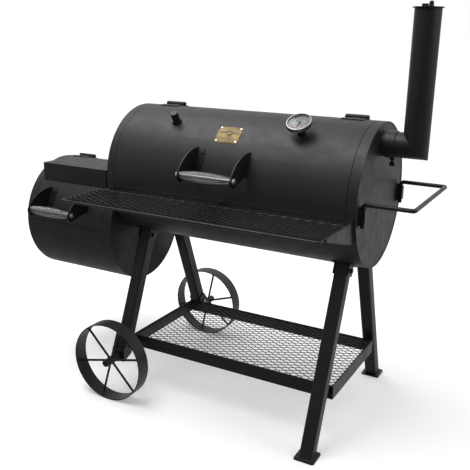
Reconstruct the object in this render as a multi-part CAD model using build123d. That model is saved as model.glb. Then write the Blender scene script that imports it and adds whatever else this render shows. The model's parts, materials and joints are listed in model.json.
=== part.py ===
from build123d import *
import os
from math import acos, cos, degrees, radians, sin, sqrt

# Barrel charcoal grill with an offset firebox, in millimetres.
# The pieces are laid out with x = 0 at the left end of the main barrel, y = 0 on its axis and the
# front towards -y. save() then moves each one by ORIGIN_SHIFT, so that the row's origin is on the
# floor, under the middle of the whole grill.

# ---------------------------------------------------------------- driving dimensions
SHEET = 3.0             # steel sheet of the barrel, firebox and lids
GAP = 1.5               # gap round a lid, measured along x
GAP_ANGLE = 0.6         # the same gap in degrees, at a lid's lower and upper edges
CLEAR = 0.3             # clearance between pieces that move past each other

BARREL_R = 229.0        # outside radius of the main barrel
BARREL_LENGTH = 890.0
BARREL_Z = 770.0        # height of its axis
RAIL_Z = 716.0          # underside of the ledges that carry the cooking grates
CAP_INSET = 1.5         # end plates sit this far inside the barrel's ends

LID_X0 = 29.5           # main lid, from end to end
LID_X1 = 857.5
LID_LOW = -9.0          # its lower edge, in degrees above the horizontal at the front
HINGE_XS = (112.0, 786.0)
HINGE_ANGLE = 98.0      # the hinge axis is just behind the top of the barrel

FIREBOX_R = 215.0
FIREBOX_X0 = -400.0
FIREBOX_X1 = -6.0
FIREBOX_Z = 556.0
FB_LID_X0 = -372.0
FB_LID_X1 = -43.0
FB_LID_LOW = 3.0
FB_HINGE_XS = (-334.0, -81.0)
FB_HINGE_Y = 62.0
BOX_X0 = -361.0         # the square hood pressed up out of the firebox lid
BOX_X1 = -66.0
BOX_Y = -156.0

KNUCKLE_R = 7.0         # hinges of both lids
KNUCKLE_LENGTH = 24.0
LEAF_REACH = 40.0
PIN_R = 3.0
RUNNING = 0.05          # radial running clearance on pins and axles

HANDLE_X = 438.0        # middle of the main lid's handle
FB_HANDLE_X = -212.0
HANDLE_SPAN = 188.0     # from fin to fin
FIN = 3.0
FIN_TOP = 33.8          # angle where the main handle's fins leave the lid, at the top
FB_FIN_TURN = 3.2       # the firebox handle is the same one, turned this much further up
ROD_R = 5.0
COIL_END_R = 11.0
COIL_MID_R = 18.0

PLATE_X0 = 391.0        # nameplate
PLATE_X1 = 473.0
PLATE_LOW = 39.5
PLATE_HIGH = 55.5

GAUGE_X = 668.0         # thermometer and port plug
GAUGE_ANGLE = 56.4
GAUGE_R = 39.5
GAUGE_BEZEL = 4.0
GAUGE_FACE = 45.0       # height of the gauge's face above the lid
PLUG_X = 220.0

STACK_X = 991.0         # chimney
STACK_Y = -30.0
STACK_Z = 937.0         # height of its horizontal stub
STACK_R = 38.0
STACK_TOP = 1322.7
STACK_COLLAR_X0 = BARREL_LENGTH + 15.0
STACK_COLLAR_X1 = BARREL_LENGTH + 45.0
CAP_R = 43.5
CAP_THICK = 2.5
CAP_PIVOT_Y = STACK_Y + 30.0

SHELF_X0 = 0.0          # front shelf
SHELF_X1 = 873.0
SHELF_BACK = -272.0
SHELF_FRONT = -459.0
SHELF_Z = 731.0
SHELF_ROD = 4.0
SHELF_CORNER = 9.0
CROSS_BAR_XS = (12.0, 438.0)
CROSS_BAR_R = 3.5
MESH_THICK = 3.0

PULL_Z = 782.0          # pull handle on the right end
PULL_Y = 193.0
PULL_X = 1044.5
PULL_ROD = 6.5
PULL_FOOT_X = BARREL_LENGTH + 9.0
PULL_LOW = 712.0
SOCKET_LOW = 720.0
SOCKET_HIGH = 774.0

LEG = 43.0              # square leg tube
LEG_WALL = 2.5
LEG_CORNER = 7.0
LEFT_LEG_X = 72.0
RIGHT_LEG_X = 818.0
LEG_FOOT_Y = 320.0      # how far the leg's centre line is from the middle, on the floor
LEG_SLOPE = 0.403       # how far it comes in for each millimetre up
FOOT = 66.0
FOOT_THICK = 6.0
SADDLE = 4.0            # thickness of the saddle plates over the legs
BOLT_R = 4.0
LEG_BOLT_Z = 544.0
CHEEK_LOW = 528.0
AXLE_BOLT_Z = 170.0
AXLE_LEG_END = 150.0    # height where the left legs end, inside their axle brackets
BRACKET_LOW = 122.0
BRACKET_TOP = 204.0
BRACKET_SHEET = 4.0

WHEEL_R = 140.0
WHEEL_Y = 329.5         # middle of the wheel
RIM_WIDTH = 51.0
RIM_THICK = 4.0
SPOKE_R = 4.0
SPOKES = 6
SPOKE_TURNS = {-1: 14.0, 1: 18.0}   # how far each wheel is turned, in degrees, front and rear
HUB_R = 13.0
HUB_HALF = 28.0
AXLE_R = 8.0
PLATE_FACE_Y = 290.0    # outer face of the axle brackets

TRAY_X0 = 74.0          # lower shelf
TRAY_X1 = 845.0
TRAY_Y = 198.0
TRAY_TOP = 191.0
TRAY_DEEP = 46.0
TRAY_DROP = 4.0         # from the rail's top down to the mesh
TRAY_LEDGE = 8.0

DOOR_Y = 160.0          # half width of the firebox's side opening
DOOR_Z0 = 455.0
DOOR_Z1 = 600.0
DOOR_HINGE_Y = -183.0
DOOR_AXIS_X = FIREBOX_X0 - 6.0
DOOR_FIXED_SPANS = ((482.0, 497.0), (558.0, 573.0))
DOOR_PLATE_X = FIREBOX_X0 - 1.5
DOOR_PIN_R = 2.5
DAMPER_Y = 30.0         # round vent plate on the side door
DAMPER_Z = 527.0
DAMPER_R = 48.0
VENT_R = 27.0
VENT_HOLE_R = 12.0

# ---------------------------------------------------------------- derived values
REAR_AXLE_END = WHEEL_Y + HUB_HALF + 5.0
LEFTMOST = FIREBOX_X0 - 24.0
RIGHTMOST = PULL_X + PULL_ROD
ORIGIN_SHIFT = (-(LEFTMOST + RIGHTMOST) / 2, -(SHELF_FRONT - SHELF_ROD + REAR_AXLE_END) / 2, 0)
STACK_COLLAR_MID = (STACK_COLLAR_X0 + STACK_COLLAR_X1) / 2
SHELF_MESH_Z = SHELF_Z + SHELF_ROD

HINGE_R = BARREL_R + KNUCKLE_R + CLEAR
LID_HIGH = HINGE_ANGLE - 1.5
FB_HINGE_R = FIREBOX_R + KNUCKLE_R + CLEAR
FB_HINGE_ANGLE = degrees(acos(-FB_HINGE_Y / FB_HINGE_R))
FB_LID_HIGH = FB_HINGE_ANGLE - 1.5
BOX_LOW = degrees(acos(-BOX_Y / FIREBOX_R))


# ---------------------------------------------------------------- helpers
def save(node, *solids):
    """Move the solids to the row's origin and write them as one node."""
    moved = [Pos(*ORIGIN_SHIFT) * solid for solid in solids]
    shape = moved[0] if len(moved) == 1 else Compound(children=moved)
    export_step(shape, f"parts/{node}.step")


def polar(radius, angle, centre_z=BARREL_Z):
    """The point (y, z) at a radius and an angle, measured up from the horizontal at the front."""
    return (-radius * cos(radians(angle)), centre_z + radius * sin(radians(angle)))


def surface(x, height, angle, radius=BARREL_R, centre_z=BARREL_Z):
    """A plane whose normal leaves the barrel squarely, at a height above its surface."""
    y, z = polar(radius + height, angle, centre_z)
    outward = (0, -cos(radians(angle)), sin(radians(angle)))
    return Plane(origin=(x, y, z), x_dir=(1, 0, 0), z_dir=outward)


def profile(face, x0, x1):
    """Extrude a face drawn in (y, z) from x0 to x1."""
    return extrude(Plane.YZ.offset(x0) * face, amount=x1 - x0, dir=(1, 0, 0))


def band(r0, r1, low, high, x0, x1, centre_z=BARREL_Z):
    """A curved plate between two radii and two angles, from x0 to x1."""
    middle = (low + high) / 2
    outer_low, outer_high = polar(r1, low, centre_z), polar(r1, high, centre_z)
    inner_low, inner_high = polar(r0, low, centre_z), polar(r0, high, centre_z)
    outline = ThreePointArc(outer_low, polar(r1, middle, centre_z), outer_high)
    outline += Line(outer_high, inner_high)
    outline += ThreePointArc(inner_high, polar(r0, middle, centre_z), inner_low)
    outline += Line(inner_low, outer_low)
    return profile(make_face(outline), x0, x1)


def rod(start, end, radius):
    """A round bar between two points."""
    axis = Vector(*end) - Vector(*start)
    place = Plane(origin=start, z_dir=axis)
    return place * Cylinder(radius, axis.length, align=(Align.CENTER, Align.CENTER, Align.MIN))


def tube(start, end, outer, inner):
    """A round tube between two points."""
    return rod(start, end, outer) - rod(start, end, inner)


def block(x0, x1, y0, y1, z0, z1):
    """A box from its limits."""
    size = (x1 - x0, y1 - y0, z1 - z0)
    return Pos((x0 + x1) / 2, (y0 + y1) / 2, (z0 + z1) / 2) * Box(*size)


def disc_yz(radius, centre_z, x0, x1, y=0.0):
    """A disc whose axis is along x."""
    return rod((x0, y, centre_z), (x1, y, centre_z), radius)


def hex_head(place, across_flats, height):
    """A hexagonal head standing on a plane."""
    return extrude(place * RegularPolygon(across_flats / 2, 6, major_radius=False), amount=height)


def post(place, radius, low, high):
    """A round post along a plane's normal, between two heights over it."""
    column = Cylinder(radius, high - low, align=(Align.CENTER, Align.CENTER, Align.MIN))
    return place * Pos(0, 0, low) * column


def lens(firebox_margin, barrel_margin, x0, x1):
    """The part that the firebox's end and the barrel's end share, less a margin on each."""
    low = disc_yz(FIREBOX_R - firebox_margin, FIREBOX_Z, x0, x1)
    high = disc_yz(BARREL_R - barrel_margin, BARREL_Z, x0, x1)
    return low & high


# ---------------------------------------------------------------- main barrel
def barrel_shell():
    """Rolled sheet with the lid's window, the lips that the lid shuts on and the grate rails."""
    inner = BARREL_R - SHEET
    shell = tube((0, 0, BARREL_Z), (BARREL_LENGTH, 0, BARREL_Z), BARREL_R, inner)
    low, high = LID_LOW - GAP_ANGLE, LID_HIGH + GAP_ANGLE
    shell -= band(inner - 5, BARREL_R + 5, low, high, LID_X0 - GAP, LID_X1 + GAP)
    lip_out, lip_in = inner, inner - SHEET
    for x0, x1 in ((LID_X0 - 12, LID_X0 - GAP), (LID_X1 + GAP, LID_X1 + 12)):
        shell += band(lip_in, lip_out, low - 6, high + 3, x0, x1)
    under = inner - CLEAR
    for x0, x1 in ((LID_X0 - 12, LID_X0 + 14), (LID_X1 - 14, LID_X1 + 12)):
        shell += band(lip_in, under, low - 6, high + 3, x0, x1)
    shell += band(lip_in, lip_out, low - 6, low, LID_X0 - 12, LID_X1 + 12)
    shell += band(lip_in, under, low - 6, low + 3, LID_X0 - 12, LID_X1 + 12)
    return shell + grate_rail(-1) + grate_rail(1)


def grate_rail(side):
    """A ledge welded inside the barrel, which carries the cooking grates."""
    reach = sqrt((BARREL_R - SHEET) ** 2 - (BARREL_Z - RAIL_Z) ** 2)
    ledge = block(20, 870, *sorted((side * (reach - 22), side * (reach + 2.5))), RAIL_Z, RAIL_Z + SHEET)
    return ledge & disc_yz(BARREL_R - 1, BARREL_Z, 0, BARREL_LENGTH)


def barrel_end_left():
    """End plate with the opening that lets smoke in from the firebox."""
    plate = disc_yz(BARREL_R - SHEET, BARREL_Z, CAP_INSET, CAP_INSET + SHEET)
    return plate - lens(22, 26, -1, 10)


def barrel_end_right():
    """End plate with the hole for the chimney's stub."""
    x1 = BARREL_LENGTH - CAP_INSET
    plate = disc_yz(BARREL_R - SHEET, BARREL_Z, x1 - SHEET, x1)
    return plate - disc_yz(STACK_R, STACK_Z, x1 - 10, x1 + 10, STACK_Y)


def cooking_grates():
    """Three wire grates side by side on the rails."""
    length, half, z = 276.0, 206.0, RAIL_Z + SHEET + 3.0
    grates = []
    for i in range(3):
        x0 = 24.0 + i * (length + 4.0)
        x1 = x0 + length
        wires = [rod((x, -half, z), (x, half, z), 3.0) for x in (x0 + 3, x1 - 3)]
        wires += [rod((x0, y, z), (x1, y, z), 3.0) for y in (-half, -half / 3, half / 3, half)]
        wires += [rod((x0 + 3 + 15 * n, -half, z), (x0 + 3 + 15 * n, half, z), 2.5) for n in range(1, 18)]
        grate = wires[0]
        for wire in wires[1:]:
            grate += wire
        grates.append(grate)
    return grates


# ---------------------------------------------------------------- main lid
def main_lid():
    """Rolled lid with holes for the thermometer, the port plug and the nameplate's rivets."""
    lid = band(BARREL_R - SHEET, BARREL_R, LID_LOW, LID_HIGH, LID_X0, LID_X1)
    lid -= post(surface(GAUGE_X, 0, GAUGE_ANGLE), 6.0, -10, 10)
    lid -= post(surface(PLUG_X, 0, GAUGE_ANGLE), 9.0, -10, 10)
    for x, angle in rivet_places():
        lid -= post(surface(x, 0, angle), 1.5, -10, 10)
    for x, angle in handle_bolt_places(HANDLE_X, 0.0):
        lid -= post(surface(x, 0, angle), 3.0, -10, 10)
    return lid


def rivet_places():
    """The nameplate's four corners, as x and angle."""
    angles = (PLATE_LOW + 1.5, PLATE_HIGH - 1.5)
    return [(x, angle) for x in (PLATE_X0 + 6, PLATE_X1 - 6) for angle in angles]


def nameplate():
    """Curved brass plate."""
    plate = band(BARREL_R, BARREL_R + 1.0, PLATE_LOW, PLATE_HIGH, PLATE_X0, PLATE_X1)
    for x, angle in rivet_places():
        plate -= post(surface(x, 0, angle), 1.5, -10, 10)
    return plate


def nameplate_rivets():
    """Four domed rivets through the plate and the lid."""
    rivets = []
    for x, angle in rivet_places():
        place = surface(x, 1.1, angle)
        head = post(place, 3.6, 0.0, 1.6)
        head = fillet(head.edges().sort_by(Axis((0, 0, 0), place.z_dir))[-1], 1.2)
        rivets.append(head + post(place, 1.5, -4.8, 0.0))
    return rivets


# ---------------------------------------------------------------- hinges of the lids
def hinge_cut(angle, hinge_r, centre_z, x, bore):
    """Cylinder on a hinge's axis, for knuckles and bores."""
    y, z = polar(hinge_r, angle, centre_z)
    return rod((x - KNUCKLE_LENGTH * 1.5 - 5, y, z), (x + KNUCKLE_LENGTH * 1.5 + 5, y, z), bore)


def hinge_leaf(x, angle, hinge_r, radius, centre_z, moving):
    """One leaf: a curved strap on the shell, and the knuckles that it carries."""
    y, z = polar(hinge_r, angle, centre_z)
    near = degrees(8.5 / radius)
    far = degrees((8.5 + LEAF_REACH) / radius)
    half = KNUCKLE_LENGTH * 1.5
    side = -1 if moving else 1
    low, high = sorted((angle + side * near, angle + side * far))
    leaf = band(radius, radius + SHEET, low, high, x - half, x + half, centre_z)
    third = KNUCKLE_LENGTH / 2
    spans = [(x - half, x - third), (x + third, x + half)]
    if moving:
        spans = [(x - third + CLEAR, x + third - CLEAR)]
    low, high = sorted((angle + side * degrees(2.0 / radius), angle + side * (near + 0.5)))
    for x0, x1 in spans:
        leaf += band(radius + CLEAR, radius + SHEET + 1.5, low, high, x0, x1, centre_z)
        leaf += rod((x0, y, z), (x1, y, z), KNUCKLE_R)
    return leaf - hinge_cut(angle, hinge_r, centre_z, x, PIN_R + RUNNING)


def barrel_hinge_leaves(moving):
    """Both leaves of one kind on the main barrel."""
    return [hinge_leaf(x, HINGE_ANGLE, HINGE_R, BARREL_R, BARREL_Z, moving) for x in HINGE_XS]


def firebox_hinge_leaves(moving):
    """Both leaves of one kind on the firebox."""
    return [hinge_leaf(x, FB_HINGE_ANGLE, FB_HINGE_R, FIREBOX_R, FIREBOX_Z, moving) for x in FB_HINGE_XS]


def hinge_pins():
    """Four pins, each with a head on both ends."""
    half = KNUCKLE_LENGTH * 1.5
    pins = []
    places = [(x, HINGE_ANGLE, HINGE_R, BARREL_Z) for x in HINGE_XS]
    places += [(x, FB_HINGE_ANGLE, FB_HINGE_R, FIREBOX_Z) for x in FB_HINGE_XS]
    for x, angle, radius, centre_z in places:
        y, z = polar(radius, angle, centre_z)
        pin = rod((x - half - 2, y, z), (x + half + 2, y, z), PIN_R)
        for x0, x1 in ((x - half - 3, x - half), (x + half, x + half + 3)):
            pin += rod((x0, y, z), (x1, y, z), PIN_R + 2)
        pins.append(pin)
    return pins


# ---------------------------------------------------------------- lid handles
def rod_place(turn, radius, centre_z):
    """Where the handle's rod is, as (y, z)."""
    return polar(radius + 83.0, 10.4 + turn, centre_z)


def handle_bolt_places(middle, turn):
    """Bolts that hold the handle's two flanges, as x and angle."""
    inset = HANDLE_SPAN / 2 - 17
    return [(middle + side * inset, angle + turn) for side in (-1, 1) for angle in (19.0, 29.0)]


def handle_brackets(middle, turn, radius, centre_z):
    """Two fin-shaped plates, each with a flange bolted to the lid."""
    top = polar(radius, FIN_TOP + turn, centre_z)
    shoulder = polar(radius + 68.0, 21.0 + turn, centre_z)
    nose = polar(radius + 98.5, 9.9 + turn, centre_z)
    tip = polar(radius + 92.0, 7.2 + turn, centre_z)
    chin = polar(radius + 76.0, 6.2 + turn, centre_z)
    foot = polar(radius, 14.5 + turn, centre_z)
    outline = ThreePointArc(top, shoulder, nose) + ThreePointArc(nose, tip, chin) + Line(chin, foot)
    outline += ThreePointArc(foot, polar(radius, 24.0 + turn, centre_z), top)
    fin_face = make_face(outline)
    rod_y, rod_z = rod_place(turn, radius, centre_z)
    brackets = []
    for side in (-1, 1):
        outer = middle + side * HANDLE_SPAN / 2
        inner = outer - side * FIN
        x0, x1 = sorted((outer, inner))
        bracket = profile(fin_face, x0, x1) - disc_yz(ROD_R, rod_z, x0 - 1, x1 + 1, rod_y)
        x0, x1 = sorted((outer, outer - side * 28.0))
        bracket += band(radius, radius + FIN, 15.5 + turn, 32.5 + turn, x0, x1, centre_z)
        for x, angle in handle_bolt_places(middle, turn):
            bracket -= post(surface(x, 0, angle, radius, centre_z), 3.0, -10, 10)
        brackets.append(bracket)
    return brackets


def handle_rod(middle, turn, radius, centre_z):
    """Rod through both fins, with a domed nut on each end."""
    y, z = rod_place(turn, radius, centre_z)
    half = HANDLE_SPAN / 2
    bar = rod((middle - half - 4, y, z), (middle + half + 4, y, z), ROD_R)
    for side in (-1, 1):
        place = Plane(origin=(middle + side * half, y, z), x_dir=(0, 1, 0), z_dir=(side, 0, 0))
        nut = hex_head(place, 16.0, 7.0) + post(place, 7.0, 0.0, 9.0)
        bar += nut
    return bar


def handle_spring(middle, turn, radius, centre_z):
    """Barrel-shaped coil grip round the rod, as the closed shape that its wire fills."""
    y, z = rod_place(turn, radius, centre_z)
    half = HANDLE_SPAN / 2 - FIN - 0.5
    bore = ROD_R + 0.5
    outline = Line((-half, bore), (-half, COIL_END_R))
    outline += ThreePointArc((-half, COIL_END_R), (0, COIL_MID_R), (half, COIL_END_R))
    outline += Line((half, COIL_END_R), (half, bore)) + Line((half, bore), (-half, bore))
    grip = revolve(make_face(outline), axis=Axis.X)
    return Pos(middle, y, z) * grip


def handle_bolts(middle, turn, radius, centre_z):
    """Hexagon bolts through the flanges and the lid."""
    bolts = []
    for x, angle in handle_bolt_places(middle, turn):
        place = surface(x, FIN + 0.1, angle, radius, centre_z)
        bolts.append(hex_head(place, 10.0, 4.0) + post(place, 3.0, -11.0, 0.0))
    return bolts


# ---------------------------------------------------------------- thermometer and port plug
def thermometer_stem():
    """Threaded bush with its nut on the lid, and the probe inside the barrel."""
    place = surface(GAUGE_X, 0, GAUGE_ANGLE)
    stem = post(place, 6.0, -12.0, 24.0) + post(place, 3.0, -72.0, -12.0)
    stem += hex_head(place, 24.0, 9.0)
    under = surface(GAUGE_X, -12.0, GAUGE_ANGLE)
    return stem + hex_head(under, 20.0, 5.0)


def thermometer_case():
    """Dished case with its rolled bezel."""
    place = surface(GAUGE_X, 0, GAUGE_ANGLE)
    case = post(place, 15.0, 24.0, 31.0) + post(place, GAUGE_R, 31.0, GAUGE_FACE)
    rim = case.edges().filter_by(GeomType.CIRCLE)
    outer = [edge for edge in rim if abs(edge.radius - GAUGE_R) < 0.01]
    case = fillet(outer, 2.0)
    case -= post(place, GAUGE_R - GAUGE_BEZEL, 37.0, GAUGE_FACE + 1)
    return case


def thermometer_dial():
    """Printed face plate with the needle's spindle."""
    place = surface(GAUGE_X, 0, GAUGE_ANGLE)
    return post(place, GAUGE_R - GAUGE_BEZEL, 37.0, 38.0) + post(place, 1.5, 38.0, 41.0)


def thermometer_needle():
    """Tapered needle on the spindle, pointing down the face at rest."""
    place = surface(GAUGE_X, 39.0, GAUGE_ANGLE)
    outline = Line((-1.8, 9), (1.8, 9)) + Line((1.8, 9), (0.5, -30))
    outline += Line((0.5, -30), (-0.5, -30)) + Line((-0.5, -30), (-1.8, 9))
    blade = extrude(place * make_face(outline), amount=0.8)
    needle = blade + post(place, 4.0, 0.0, 1.2)
    return needle - post(place, 1.5 + RUNNING, -1.0, 3.0)


def thermometer_lens():
    """Flat glass under the bezel."""
    place = surface(GAUGE_X, 0, GAUGE_ANGLE)
    return post(place, GAUGE_R - GAUGE_BEZEL, 42.0, 44.0)


def lid_port_plug():
    """Hexagonal plug in the second thermometer hole."""
    place = surface(PLUG_X, 0.2, GAUGE_ANGLE)
    plug = post(place, 9.0, -9.0, 0.0) + hex_head(place, 30.0, 10.0)
    return plug + post(place, 12.5, 10.0, 38.0)


# ---------------------------------------------------------------- chimney
def stack_solid(radius, extra):
    """Mitred elbow and upright, as a solid bar of one radius, longer at both ends by extra."""
    reach = STACK_R + 60
    upright = rod((STACK_X, STACK_Y, STACK_Z - reach), (STACK_X, STACK_Y, STACK_TOP + extra), radius)
    level = rod((STACK_COLLAR_MID - extra, STACK_Y, STACK_Z), (STACK_X + reach, STACK_Y, STACK_Z), radius)
    above = Pos(STACK_X, STACK_Y, STACK_Z) * Rot(0, 45, 0)
    above = above * Box(1200, 1200, 1200, align=(Align.CENTER, Align.CENTER, Align.MIN))
    return (upright & above) + (level - above)


def stack_stub():
    """Short pipe through the end plate."""
    start = BARREL_LENGTH - CAP_INSET - SHEET
    ends = ((start, STACK_Y, STACK_Z), (STACK_COLLAR_MID - CLEAR, STACK_Y, STACK_Z))
    return tube(*ends, STACK_R, STACK_R - SHEET)


def stack_collar():
    """Sleeve that joins the chimney to the stub."""
    ends = ((STACK_COLLAR_X0, STACK_Y, STACK_Z), (STACK_COLLAR_X1, STACK_Y, STACK_Z))
    sleeve = tube(*ends, STACK_R + 3.0, STACK_R)
    x = STACK_COLLAR_MID + 5
    boss = rod((x, STACK_Y, STACK_Z - STACK_R - 9), (x, STACK_Y, STACK_Z), 8.0)
    sleeve += boss - rod(*ends, STACK_R)
    return sleeve - rod((x, STACK_Y, STACK_Z - 60), (x, STACK_Y, STACK_Z), 4.0)


def stack_set_screw():
    """Thumb screw under the collar."""
    x, z = STACK_COLLAR_MID + 5, STACK_Z - STACK_R
    screw = rod((x, STACK_Y, z - 20), (x, STACK_Y, z), 4.0)
    return screw + block(x - 8, x + 8, STACK_Y - 2, STACK_Y + 2, z - 27, z - 15)


def stack_pipe():
    """Chimney pipe with its mitred elbow and the lug for the cap's bolt."""
    pipe = stack_solid(STACK_R, 0.0) - stack_solid(STACK_R - SHEET, 5.0)
    wall = STACK_Y + STACK_R - SHEET
    pipe += block(STACK_X - 8, STACK_X + 8, wall - 13, wall + 1, STACK_TOP - 10, STACK_TOP)
    return pipe - rod((STACK_X, CAP_PIVOT_Y, STACK_TOP - 30), (STACK_X, CAP_PIVOT_Y, STACK_TOP + 5), 4.0)


def stack_cap():
    """Flat damper disc with a lifting lip, which swings about its bolt."""
    z0 = STACK_TOP + CLEAR
    z1 = z0 + CAP_THICK
    cap = rod((STACK_X, STACK_Y, z0), (STACK_X, STACK_Y, z1), CAP_R)
    lip_y = STACK_Y - CAP_R + 3
    cap += block(STACK_X - 9, STACK_X + 9, lip_y, lip_y + 3, z1, z1 + 7)
    return cap - rod((STACK_X, CAP_PIVOT_Y, z0 - 5), (STACK_X, CAP_PIVOT_Y, z1 + 5), 4.0 + RUNNING)


def stack_cap_bolt():
    """Bolt from the lug, with a domed nut over the cap."""
    z0 = STACK_TOP + CLEAR * 2 + CAP_THICK
    bolt = rod((STACK_X, CAP_PIVOT_Y, STACK_TOP - 12), (STACK_X, CAP_PIVOT_Y, z0 + 2), 4.0)
    place = Plane(origin=(STACK_X, CAP_PIVOT_Y, z0))
    nut = hex_head(place, 13.0, 7.0) + post(place, 6.5, 7.0, 18.0)
    return bolt + fillet(nut.edges().sort_by(Axis.Z)[-1], 5.5)


# ---------------------------------------------------------------- front shelf
def front_shelf_frame():
    """Welded frame of round bar, with two cross bars over the brackets."""
    length, depth = SHELF_X1 - SHELF_X0, SHELF_BACK - SHELF_FRONT
    middle = Pos((SHELF_X0 + SHELF_X1) / 2, (SHELF_FRONT + SHELF_BACK) / 2, SHELF_Z)
    hoop = RectangleRounded(length, depth, SHELF_CORNER).face().outer_wire()
    section = Plane(origin=(0, -depth / 2, 0), z_dir=(1, 0, 0)) * Circle(SHELF_ROD)
    frame = middle * sweep(section, path=hoop)
    z = SHELF_Z - SHELF_ROD + CROSS_BAR_R
    for x in CROSS_BAR_XS:
        frame += rod((x, SHELF_FRONT, z), (x, SHELF_BACK, z), CROSS_BAR_R)
    return frame


def front_shelf_mesh():
    """Expanded metal on the frame, as the sheet that it was cut from."""
    inset = 3.0
    y0, y1 = SHELF_FRONT + inset, SHELF_BACK - inset
    return block(SHELF_X0 + inset, SHELF_X1 - inset, y0, y1, SHELF_MESH_Z, SHELF_MESH_Z + MESH_THICK)


def gusset(x, top):
    """Three-cornered plate from the barrel out to the shelf's front bar."""
    front = SHELF_FRONT + 30
    corners = [(-170, top), (front, top), (front, top - 9), (-250, top - 62), (-170, top - 76)]
    plate = profile(make_face(Polyline(*corners, close=True)), x - 2, x + 2)
    return plate - disc_yz(BARREL_R, BARREL_Z, 0, BARREL_LENGTH)


def front_shelf_brackets():
    """Plates welded to the barrel: two under the shelf's cross bars, one against its right end."""
    plates = [gusset(x, SHELF_Z - SHELF_ROD) for x in CROSS_BAR_XS]
    return plates + [gusset(SHELF_X1 + SHELF_ROD + 2, SHELF_Z + SHELF_ROD)]


# ---------------------------------------------------------------- pull handle
def pull_handle():
    """Round bar bent to a wide U, with its ends turned down into the brackets."""
    x0, x1, y, z = PULL_FOOT_X, PULL_X, PULL_Y, PULL_Z
    points = [(x0, -y, PULL_LOW), (x0, -y, z), (x1, -y, z), (x1, y, z), (x0, y, z), (x0, y, PULL_LOW)]
    path = FilletPolyline(*points, radius=10.0)
    section = Plane(origin=points[0], z_dir=(0, 0, 1)) * Circle(PULL_ROD)
    return sweep(section, path=path)


def pull_handle_brackets():
    """Two sockets on the end plate that hold the handle's ends."""
    back = BARREL_LENGTH - CAP_INSET
    sockets = []
    for side in (-1, 1):
        y = side * PULL_Y
        socket = block(back, back + 4, y - 12, y + 12, SOCKET_LOW, SOCKET_HIGH)
        socket += block(back, PULL_FOOT_X + 8.5, y - 9, y + 9, SOCKET_LOW + 4, SOCKET_HIGH - 6)
        bore = rod((PULL_FOOT_X, y, 600), (PULL_FOOT_X, y, 900), PULL_ROD + RUNNING)
        socket = max((socket - bore).solids(), key=lambda solid: solid.volume)
        sockets.append(socket)
    return sockets


# ---------------------------------------------------------------- legs
def leg_y(z):
    """How far a leg's centre line is from the middle, at a height."""
    return LEG_FOOT_Y - LEG_SLOPE * z


def leg_plane(x, side, z):
    """A plane across a leg: its normal runs up the leg, its x axis is the row's x axis."""
    return Plane(origin=(x, side * leg_y(z), z), x_dir=(1, 0, 0), z_dir=(0, -side * LEG_SLOPE, 1))


def leg(x, side, low):
    """Square tube, cut to fit under the saddle, and level at the foot or square at the axle."""
    place = leg_plane(x, side, 0)
    outer = extrude(place * RectangleRounded(LEG, LEG, LEG_CORNER), amount=700)
    bore = LEG - 2 * LEG_WALL
    inner = extrude(place * RectangleRounded(bore, bore, LEG_CORNER - LEG_WALL), amount=700)
    tube_leg = outer - inner - disc_yz(BARREL_R + SADDLE, BARREL_Z, -50, BARREL_LENGTH + 50)
    tube_leg -= block(x - 50, x + 50, -600, 600, BARREL_Z, BARREL_Z + 400)
    if low > FOOT_THICK:
        cut = leg_plane(x, side, low)
        tube_leg -= extrude(cut * Rectangle(200, 200), amount=-400)
    else:
        tube_leg -= block(x - 50, x + 50, -600, 600, -300, low)
    for hole in leg_holes(x, side):
        tube_leg -= hole
    return max(tube_leg.solids(), key=lambda solid: solid.volume)


def leg_holes(x, side):
    """Bolt holes through a leg: one across the saddle, and on the left one across the axle bracket."""
    heights = [LEG_BOLT_Z] + ([AXLE_BOLT_Z] if x == LEFT_LEG_X else [])
    return [rod((x - 40, side * leg_y(z), z), (x + 40, side * leg_y(z), z), BOLT_R) for z in heights]


def leg_saddle(x):
    """Curved plate welded under the barrel, with two cheeks for each leg."""
    strap = band(BARREL_R, BARREL_R + SADDLE, -122, -58, x - 30, x + 30)
    for side in (-1, 1):
        y = side * leg_y(LEG_BOLT_Z)
        place = leg_plane(x, side, CHEEK_LOW)
        for cheek_x in (-LEG / 2 - 2.1, LEG / 2 + 2.1):
            cheek = extrude(place * Pos(cheek_x, 0) * Rectangle(4.0, LEG - 2), amount=90)
            cheek -= disc_yz(BARREL_R, BARREL_Z, -50, BARREL_LENGTH + 50)
            strap += cheek - block(x - 60, x + 60, -300, 300, BARREL_Z - 180, BARREL_Z)
        strap -= rod((x - 60, y, LEG_BOLT_Z), (x + 60, y, LEG_BOLT_Z), BOLT_R)
    return strap


def foot_plates():
    """Flat pads under the two right legs."""
    pads = []
    for side in (-1, 1):
        place = Plane(origin=(RIGHT_LEG_X, side * LEG_FOOT_Y, 0))
        pads.append(extrude(place * RectangleRounded(FOOT, FOOT, 6.0), amount=FOOT_THICK))
    return pads


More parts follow.
